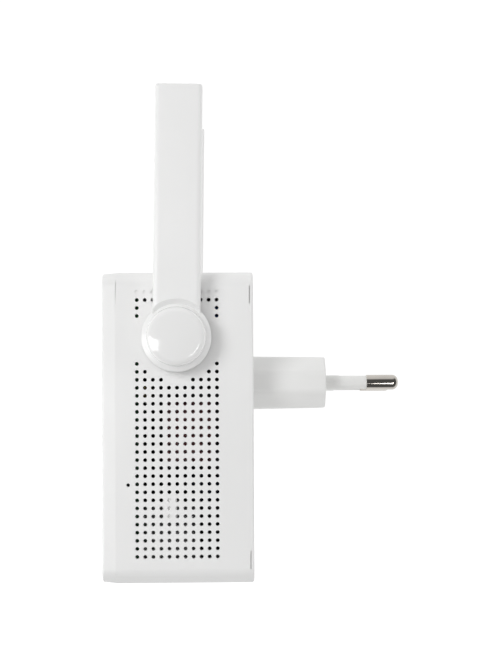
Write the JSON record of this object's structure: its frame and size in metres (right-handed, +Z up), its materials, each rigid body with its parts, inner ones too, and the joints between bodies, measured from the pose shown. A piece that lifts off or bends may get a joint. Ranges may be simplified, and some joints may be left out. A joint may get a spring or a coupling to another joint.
{
  "type": "wifi range extender",
  "caption": "Plug-in wireless range extender: a slim white box with perforated sides, a europlug on its back, a network socket below and folding side antennas.",
  "frame": {"origin": "bottom centre of the case, on its wall-side face, which is also the bottom centre of the whole object's box", "axes": "+Z up, along the raised antennas; the front faces -Y; +Y points out of the back, along the plug's pins; +X is the user's right when facing the front"},
  "size_m": [0.074, 0.0774, 0.1264],
  "materials": {
    "white_plastic": "satin moulded ABS",
    "antenna_plastic": "smooth moulded ABS",
    "cap_plastic": "polished",
    "plug_plastic": "fine matt moulding",
    "sleeve_plastic": "matt moulding",
    "nickel": "nickel plate, polished",
    "steel": "plain steel",
    "aluminium": "extruded, satin",
    "circuit_board": "green solder mask on glass epoxy",
    "black_plastic": "moulded, matt",
    "ferrite": "sintered, matt",
    "winding_tape": "polyester tape",
    "can_sleeve": "printed shrink sleeve, left plain",
    "blue_epoxy": "dipped epoxy",
    "clear_plastic": "clear acrylic",
    "thermal_gel": "soft silicone pad",
    "lead_jacket": "smooth fluoropolymer jacket",
    "gold": "gold plate",
    "lamp": "clear lens",
    "film": "milky film",
    "dark_film": "black insulating film"
  },
  "bodies": {
    "case": {"housing": "white_plastic", "front_cover": "white_plastic", "back_cover": "white_plastic", "plug_body": "plug_plastic", "contact_pin_right": "nickel", "contact_pin_left": "nickel", "pin_sleeve_right": "sleeve_plastic", "pin_sleeve_left": "sleeve_plastic", "main_board": "circuit_board", "board_screws": "steel", "processor": "black_plastic", "thermal_pad": "thermal_gel", "heatsink": "aluminium", "radio_shields": "steel", "memory_chips": "black_plastic", "status_leds": "lamp", "light_guide": "clear_plastic", "pairing_switch": "black_plastic", "reset_switch": "black_plastic", "network_socket": "black_plastic", "socket_shield": "steel", "socket_contacts": "gold", "network_transformer": "black_plastic", "power_board": "circuit_board", "power_screws": "steel", "insulation_sheet": "film", "insulating_film": "dark_film", "transformer_bobbin": "black_plastic", "transformer_core": "ferrite", "transformer_winding": "winding_tape", "input_capacitors": "can_sleeve", "output_capacitor": "can_sleeve", "filter_choke": "ferrite", "bridge_rectifier": "black_plastic", "fuse_resistor": "blue_epoxy", "safety_capacitor": "blue_epoxy", "control_chip": "black_plastic", "board_header": "black_plastic", "body_lead_right": "lead_jacket", "body_lead_left": "lead_jacket", "lead_plugs": "gold"},
    "antenna_right": {"antenna_right_outer_shell": "antenna_plastic", "antenna_right_inner_shell": "antenna_plastic", "antenna_right_hub_cap": "cap_plastic", "antenna_right_radiator": "circuit_board", "antenna_right_hinge_shaft": "steel", "antenna_right_friction_washer": "steel", "antenna_right_retaining_clip": "steel", "antenna_right_lead": "lead_jacket"},
    "antenna_left": {"antenna_left_outer_shell": "antenna_plastic", "antenna_left_inner_shell": "antenna_plastic", "antenna_left_hub_cap": "cap_plastic", "antenna_left_radiator": "circuit_board", "antenna_left_hinge_shaft": "steel", "antenna_left_friction_washer": "steel", "antenna_left_retaining_clip": "steel", "antenna_left_lead": "lead_jacket"},
    "pairing_button": {"pairing_button": "white_plastic", "pairing_switch_stem": "black_plastic"},
    "reset_button": {"reset_button": "black_plastic"}
  },
  "joints": [
    {"name": "antenna_right_fold", "type": "hinge", "parent": "case", "child": "antenna_right", "pos_m": [0, -0.0195, 0.0624], "axis": [1, 0, 0], "range_deg": [0, 180]},
    {"name": "antenna_left_fold", "type": "hinge", "parent": "case", "child": "antenna_left", "pos_m": [0, -0.0195, 0.0624], "axis": [1, 0, 0], "range_deg": [0, 180]},
    {"name": "pairing_press", "type": "slide", "parent": "case", "child": "pairing_button", "axis": [0, 1, 0], "range_m": [0, 0.0005], "stiffness_N_per_m": 1200},
    {"name": "reset_press", "type": "slide", "parent": "case", "child": "reset_button", "axis": [-1, 0, 0], "range_m": [0, 0.0003], "stiffness_N_per_m": 1000}
  ]
}
